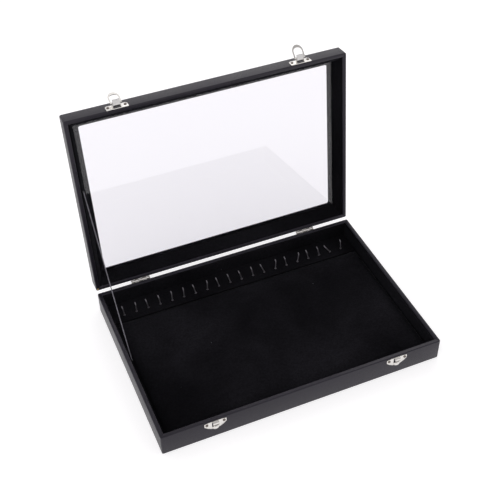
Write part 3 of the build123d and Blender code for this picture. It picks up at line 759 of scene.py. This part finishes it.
# ------------------------------------------------------------------- hardware
LATCHES = {side: Vector(JOINTS[f"lever_{side}_hinge"]["pos_m"]).x for side in ("left", "right")}
LEVER_OPEN = math.radians(-JOINTS["lever_left_hinge"]["range_deg"][0])
LOOP_IN, LOOP_OUT, LOOP_LEG = 5.2, 7.0, 8.1      # arch radii and legs, in millimetres
SHUT_LEAN = math.atan2(0.9, 14.1)      # a shut loop leans this much off the upright
CATCH_CENTRE = {side: sum(corner.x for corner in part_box(f"catch_plate_{side}")) / 2 for side in LATCHES}


def sheet_cut(corners, window=None):
    "A flat sheet in x and z at y = 0, from its corners in millimetres, with a window cut out."
    bm = bmesh.new()
    points = [bm.verts.new((x * MM, 0, z * MM)) for x, z in corners]
    bmesh.ops.contextual_create(bm, geom=points)
    if window:
        x0, x1, z0, z1 = (value * MM for value in window)
        for where, normal in (((x0, 0, 0), (1, 0, 0)), ((x1, 0, 0), (1, 0, 0)),
                              ((0, 0, z0), (0, 0, 1)), ((0, 0, z1), (0, 0, 1))):
            bmesh.ops.bisect_plane(bm, geom=list(bm.verts) + list(bm.edges) + list(bm.faces), dist=1e-7,
                                   plane_co=where, plane_no=normal)
        inside = [face for face in bm.faces if x0 < face.calc_center_median().x < x1
                  and z0 < face.calc_center_median().z < z1]
        bmesh.ops.delete(bm, geom=inside, context="FACES")
        bmesh.ops.dissolve_limit(bm, angle_limit=0.01, verts=list(bm.verts), edges=list(bm.edges))
    return bm


def grow(bm, out):
    "Gives a flat sheet its thickness, towards -y, and eases its edges."
    eased = bpy.context.scene.case_hardware.eased
    made = bmesh.ops.extrude_face_region(bm, geom=list(bm.faces))["geom"]
    bmesh.ops.translate(bm, vec=(0, -out, 0), verts=points_of(made))
    close_up(bm)
    ease(bm, [e for e in bm.edges if e.is_manifold and e.calc_face_angle(0) > 0.7], eased, 3)
    close_up(bm)


def bent_strip(bm, start, width, bends):
    "A sheet strip swept through bends (centre y, centre z, degrees, steps), all in millimetres."
    y, z = start
    edge = [bm.verts.new((side * width / 2 * MM, y * MM, z * MM)) for side in (-1, 1)]
    swept = [bm.edges.new(edge)]
    for centre_y, centre_z, degrees, steps in bends:
        made = bmesh.ops.spin(bm, geom=swept, cent=(0, centre_y * MM, centre_z * MM), axis=(1, 0, 0),
                              angle=math.radians(degrees), steps=steps)["geom_last"]
        swept = edges_of(made)
    return swept


def pressed_dome(bm, centre, radii):
    "A shallow dome pressed out of a sheet towards -y."
    made = bmesh.ops.create_uvsphere(bm, u_segments=24, v_segments=14, radius=1.0)["verts"]
    bmesh.ops.scale(bm, vec=Vector(radii) * MM, verts=made)
    bmesh.ops.translate(bm, vec=Vector(centre) * MM, verts=made)
    parts = {*made, *[e for v in made for e in v.link_edges], *[f for v in made for f in v.link_faces]}
    bmesh.ops.bisect_plane(bm, geom=list(parts), dist=1e-7, plane_co=(0, centre[1] * MM, 0),
                           plane_no=(0, 1, 0), clear_outer=True)


class CASE_OT_catches(bpy.types.Operator):
    """Stamp the two winged catches, with their hooks and bellies"""
    bl_idname, bl_label = "case.catches", "Catches"

    def execute(self, context):
        ware = context.scene.case_hardware
        for side, x in CATCH_CENTRE.items():
            bm = sheet_cut([(-13.2, -7.2), (-9.5, -10.6), (-5.6, -13.0), (-3.2, -13.6), (3.2, -13.6),
                            (5.6, -13.0), (9.5, -10.6), (13.2, -7.2), (13.2, -2.3), (7.5, -1.5),
                            (-7.5, -1.5), (-13.2, -2.3)], (-4.1, 4.1, -10.0, -2.7))
            grow(bm, ware.plate)
            bent_strip(bm, (-0.4, -2.4), 7.4, ((-1.75, -3.9, 150, 12), (-3.6, -14.0, 3, 2)))
            pressed_dome(bm, (0, -0.7, -11.6), (4.1, 2.4, 2.6))
            place = Matrix.Translation((x, -DEPTH / 2, BASE_H))
            finish_piece(bm, f"catch_{side}", "base", [f"catch_plate_{side}"],
                         "bright nickel", place)
        # the catch screws get the dark steel, whose colour is painted slot shade
        finish_node("catch_screws", "screw steel painted dark for slot shade")
        return {"FINISHED"}


class CASE_OT_latches(bpy.types.Operator):
    """Stamp the latch plates, curl the levers and bend the loops"""
    bl_idname, bl_label = "case.latches", "Latches"

    @staticmethod
    def loop(side, place, ware):
        "A flat loop: two legs, a round arch that widens to its crown, and its two eye pins."
        swing = math.radians(JOINTS[f"loop_{side}_hinge"]["range_deg"][1])
        eye = Vector((0, 0.7, 2.0)) * MM
        at_rest = (place @ Matrix.Rotation(LEVER_OPEN, 4, "X") @ Matrix.Translation(eye)
                   @ Matrix.Rotation(-swing + SHUT_LEAN, 4, "X"))
        bm = bmesh.new()
        ends = [bm.verts.new((radius * MM, 0, 0)) for radius in (LOOP_IN, LOOP_OUT)]
        start = bm.edges.new(ends)
        leg = bmesh.ops.extrude_edge_only(bm, edges=[start])["geom"]
        bmesh.ops.translate(bm, vec=(0, 0, -LOOP_LEG * MM), verts=points_of(leg))
        foot = [part for part in leg if isinstance(part, bmesh.types.BMEdge)
                and all(vert.co.z < -8 * MM for vert in part.verts)]
        arch = bmesh.ops.spin(bm, geom=foot, cent=(0, 0, -LOOP_LEG * MM), axis=(0, 1, 0),
                              angle=math.pi, steps=20)
        last = edges_of(arch["geom_last"])
        leg = bmesh.ops.extrude_edge_only(bm, edges=last)["geom"]
        bmesh.ops.translate(bm, vec=(0, 0, LOOP_LEG * MM), verts=points_of(leg))
        for vert in bm.verts:
            below = -LOOP_LEG * MM - vert.co.z
            if below > 0 and math.hypot(vert.co.x, below) > 6 * MM:
                vert.co.z -= 1.2 * MM * (below / (LOOP_OUT * MM)) ** 2
            elif below > 0:
                vert.co.z += 0.7 * MM * (below / (LOOP_IN * MM)) ** 2
        close_up(bm)
        made = bmesh.ops.extrude_face_region(bm, geom=list(bm.faces))["geom"]
        bmesh.ops.translate(bm, vec=(0, 1.1 * MM, 0), verts=points_of(made))
        bmesh.ops.translate(bm, vec=(0, -0.55 * MM, 0), verts=bm.verts)
        close_up(bm)
        for hand in (-1, 1):
            bmesh.ops.create_cone(bm, cap_ends=True, segments=20, radius1=0.75 * MM, radius2=0.75 * MM,
                                  depth=2.6 * MM, matrix=Matrix.Translation((hand * 5.6 * MM, 0, 0))
                                  @ Matrix.Rotation(math.pi / 2, 4, "Y"))
        made = finish_piece(bm, f"loop_{side}", f"loop_{side}", [f"latch_loop_{side}"],
                            "bright nickel", at_rest, sharp=40)
        soften(made, ware.eased)

    def execute(self, context):
        ware = context.scene.case_hardware
        pin_y, pin_z = -3.4, 5.0
        for side, x in LATCHES.items():
            place = OPEN_LID @ Matrix.Translation((x, -DEPTH / 2, LID_Z))
            bm = sheet_cut([(-13.2, 0.65), (13.2, 0.65), (13.2, 8.4), (11.0, 10.55), (-11.0, 10.55),
                            (-13.2, 8.4)], (-4.3, 4.3, 1.7, 8.2))
            grow(bm, ware.plate)
            for hand in (-1, 1):
                ear = Matrix.Translation(Vector((hand * 4.7, pin_y, pin_z)) * MM)
                bmesh.ops.create_cone(bm, cap_ends=True, segments=24, radius1=1.2 * MM, radius2=1.2 * MM,
                                      depth=0.7 * MM, matrix=ear @ Matrix.Rotation(math.pi / 2, 4, "Y"))
                block_in(bm, Vector((hand * 4.7 - 0.35, pin_y, pin_z - 1.15)) * MM,
                         Vector((hand * 4.7 + 0.35, -0.2, pin_z + 1.15)) * MM)
            finish_piece(bm, f"latch_base_{side}", "lid", [f"latch_plate_{side}"],
                         "bright nickel", place)

            shut_pin = Matrix.Translation(Vector((0, pin_y, pin_z)) * MM)
            swung = place @ shut_pin @ Matrix.Rotation(LEVER_OPEN, 4, "X")
            bm = bmesh.new()
            bent_strip(bm, (-0.1, 6.5), 8.0, ((17.0, 0.7, 20.5, 8), (0, 0, 235, 14)))
            flanks = [e for e in bm.edges if e.is_boundary and e.verts[0].co.z > 1.0 * MM
                      and e.verts[1].co.z > 1.0 * MM and abs(e.verts[0].co.x - e.verts[1].co.x) < 1e-6]
            made = bmesh.ops.extrude_edge_only(bm, edges=flanks)["geom"]
            bmesh.ops.translate(bm, vec=(0, 1.0 * MM, 0),
                                verts=points_of(made))
            close_up(bm)
            lever = finish_piece(bm, f"lever_{side}", f"lever_{side}", [f"latch_lever_{side}"],
                                 "lever satin", swung, sharp=50)
            thicken(lever, 0.6 * MM, 0.0)
            soften(lever, ware.eased)
            self.loop(side, place @ shut_pin, ware)
            finish_node(f"latch_pin_{side}", "pin steel")
        finish_node("latch_screws", "screw steel painted dark for slot shade")
        return {"FINISHED"}


class CASE_OT_hinges(bpy.types.Operator):
    """Finish the hinges, their screws and the rim's brass pin"""
    bl_idname, bl_label = "case.hinges", "Hinges and rim pin"

    def execute(self, context):
        for side in LATCHES:
            finish_node(f"hinge_base_leaf_{side}", "bright nickel")
            finish_node(f"hinge_lid_leaf_{side}", "bright nickel")
            finish_node(f"hinge_pin_{side}", "pin steel")
        finish_node("hinge_base_screws", "screw steel painted dark for slot shade")
        finish_node("hinge_lid_screws", "screw steel painted dark for slot shade")
        finish_node("rim_pin", "polished brass")
        return {"FINISHED"}


# ------------------------------------------------------------------ stay cord
CORD_LOW = Vector(LID["deforming_nodes"][0]["fixed_end_m"])


def cord_route():
    "The taut cord's ends, from its two knots."
    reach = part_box("stay_cord")[1]
    return CORD_LOW, Vector((CORD_LOW.x, reach.y - 0.2 * MM, reach.z - 0.2 * MM))


class CASE_OT_stay(bpy.types.Operator):
    """Twist the stay cord and tie its knots"""
    bl_idname, bl_label = "case.stay", "Stay cord"

    def execute(self, context):
        ware = context.scene.case_hardware
        start, end = cord_route()
        route = bpy.data.curves.new("stay_route", "CURVE")
        route.dimensions = "3D"
        spline = route.splines.new("NURBS")
        spline.points.add(2)
        low = (start + end) / 2 - Vector((0, 0, 2.4 * MM))
        for point, place in zip(spline.points, (start, low, end)):
            point.co = (*place, 1)
        spline.order_u, spline.use_endpoint_u, spline.resolution_u = 3, True, 60
        holder = bpy.data.objects.new("stay_route", route)
        context.scene.collection.objects.link(holder)
        line = [vert.co.copy() for vert in to_mesh(holder, "stay_line").vertices]
        total = (end - start).length
        along = (end - start).normalized()
        side = along.cross(Vector((1, 0, 0))).normalized()
        other = along.cross(side)
        strands = bpy.data.curves.new("stay_strands", "CURVE")
        strands.dimensions, strands.bevel_depth, strands.bevel_resolution = "3D", ware.cord * 0.26, 1
        steps = int(total / ware.cord_lay * 8)
        for strand in range(3):
            twist = strands.splines.new("POLY")
            twist.points.add(steps)
            for number, point in enumerate(twist.points):
                share = number / steps
                exact = share * (len(line) - 1)
                index = min(int(exact), len(line) - 2)
                centre = line[index].lerp(line[index + 1], exact - index)
                angle = 2 * math.pi * (share * total / ware.cord_lay + strand / 3)
                offset = (side * math.cos(angle) + other * math.sin(angle)) * ware.cord * 0.24
                point.co = (*(centre + offset), 1)
        holder = bpy.data.objects.new("stay_strands", strands)
        context.scene.collection.objects.link(holder)
        mesh = to_mesh(holder, "stay_cord_twist")
        mesh.shade_smooth()
        mesh.materials.clear()
        mesh.materials.append(bpy.data.materials["stay cord"])
        cord = bpy.data.objects.new("stay_cord_twist", mesh)
        context.scene.collection.objects.link(cord)
        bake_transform(cord)
        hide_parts("stay_cord")
        for node in ("stay_base_anchor", "stay_lid_anchor"):
            finish_node(node, "knotted cord")
        return {"FINISHED"}


# --------------------------------------------------------------- plain boards
class CASE_OT_boards(bpy.types.Operator):
    """Finish the hidden boards, the foam, the glass and the underside"""
    bl_idname, bl_label = "case.boards", "Boards, glass and underside"

    def execute(self, context):
        for node in NODES:
            if node.endswith("_board"):
                finish_node(node, "bare board")
        for node in ("bed_foam", "bed_board", "base_bottom_board"):
            finish_node(node, "lining velvet")
        finish_node("base_underside_sheet", "underside paper")
        finish_node("lid_glass", "window glass")
        return {"FINISHED"}


# ---------------------------------------------------------------------- stage
class CASE_OT_stage(bpy.types.Operator):
    """Set the camera, the floor and the light"""
    bl_idname, bl_label = "case.stage", "Stage"

    def execute(self, context):
        scene, stage = context.scene, context.scene.case_stage
        data = bpy.data.cameras.new("camera")
        data.lens, data.sensor_width, data.clip_start = stage.lens, 36, 0.01
        data.shift_x, data.shift_y = 0.013, -0.001
        camera = bpy.data.objects.new("camera", data)
        scene.collection.objects.link(camera)
        scene.camera = camera
        camera.location = stage.camera
        aim = (Vector(stage.target) - Vector(stage.camera)).to_track_quat("-Z", "Y")
        camera.rotation_euler = (aim @ Quaternion((0, 0, 1), stage.roll)).to_euler()
        bm = bmesh.new()
        bmesh.ops.create_grid(bm, x_segments=8, y_segments=8, size=6)
        bmesh.ops.translate(bm, vec=(0, 0, -0.3 * MM), verts=bm.verts)
        mesh = bpy.data.meshes.new("floor")
        bm.to_mesh(mesh)
        bm.free()
        floor = bpy.data.objects.new("floor", mesh)
        scene.collection.objects.link(floor)
        paper = tree_of("floor paper", tuple(stage.floor_colour), Roughness=0.9, Specular_IOR_Level=0.1,
                        Emission_Color=(1, 0.99, 1, 1), Emission_Strength=stage.light_table)[0]
        mesh.materials.append(paper)
        world = bpy.data.worlds.new("daylight")
        scene.world = world
        world.use_nodes = True
        sky = world.node_tree
        where = add(sky, "ShaderNodeTexCoord")
        heights = sky.nodes.new("ShaderNodeSeparateXYZ")
        sky.links.new(where.outputs["Generated"], heights.inputs[0])
        dome = between(sky, heights.outputs[2], 0.55, 0.95, stage.daylight, stage.daylight * stage.zenith)
        sky.links.new(dome, sky.nodes["Background"].inputs[1])
        sky.nodes["Background"].inputs[0].default_value = (1.0, 0.985, 1.0, 1)
        for name, place, size, power in (("key", (-0.6, -0.5, 1.7), 1.3, 5.0),
                                         ("back", (0.7, 1.3, 1.4), 1.4, 4.0)):
            light = bpy.data.lights.new(name, "AREA")
            light.energy, light.size = power, size
            lamp = bpy.data.objects.new(name, light)
            scene.collection.objects.link(lamp)
            lamp.location = place
            lamp.rotation_euler = (Vector((0, 0.05, 0)) - Vector(place)).to_track_quat("-Z", "Y").to_euler()
        scene.view_settings.view_transform = "Standard"
        return {"FINISHED"}


PIECES = (CASE_OT_stage, CASE_OT_stay, CASE_OT_base_cover, CASE_OT_lid_cover, CASE_OT_liners,
          CASE_OT_mouldings, CASE_OT_bed, CASE_OT_strip, CASE_OT_catches, CASE_OT_latches,
          CASE_OT_hinges, CASE_OT_boards)
SETTINGS = {"case_covering": CoveringSettings, "case_bed": BedSettings, "case_hardware": HardwareSettings,
            "case_stage": StageSettings}


class CASE_PT_panel(bpy.types.Panel):
    """Lists the pieces of the display case"""
    bl_idname, bl_label = "CASE_PT_panel", "Display Case"
    bl_space_type, bl_region_type, bl_category = "VIEW_3D", "UI", "Display Case"

    def draw(self, context):
        for name in SETTINGS:
            settings = getattr(context.scene, name)
            box = self.layout.box()
            for key in settings.__annotations__:
                box.prop(settings, key)
        for piece in PIECES:
            self.layout.operator(piece.bl_idname)


def register():
    for settings in SETTINGS.values():
        bpy.utils.register_class(settings)
    for name, settings in SETTINGS.items():
        setattr(bpy.types.Scene, name, PointerProperty(type=settings))
    for piece in (*PIECES, CASE_PT_panel):
        bpy.utils.register_class(piece)


def unregister():
    for piece in reversed((*PIECES, CASE_PT_panel)):
        bpy.utils.unregister_class(piece)
    for name, settings in SETTINGS.items():
        delattr(bpy.types.Scene, name)
        bpy.utils.unregister_class(settings)


def main():
    register()
    make_effects()
    make_materials()
    for piece in PIECES:
        getattr(bpy.ops.case, piece.bl_idname.split(".")[1])()


if __name__ == "__main__":
    main()
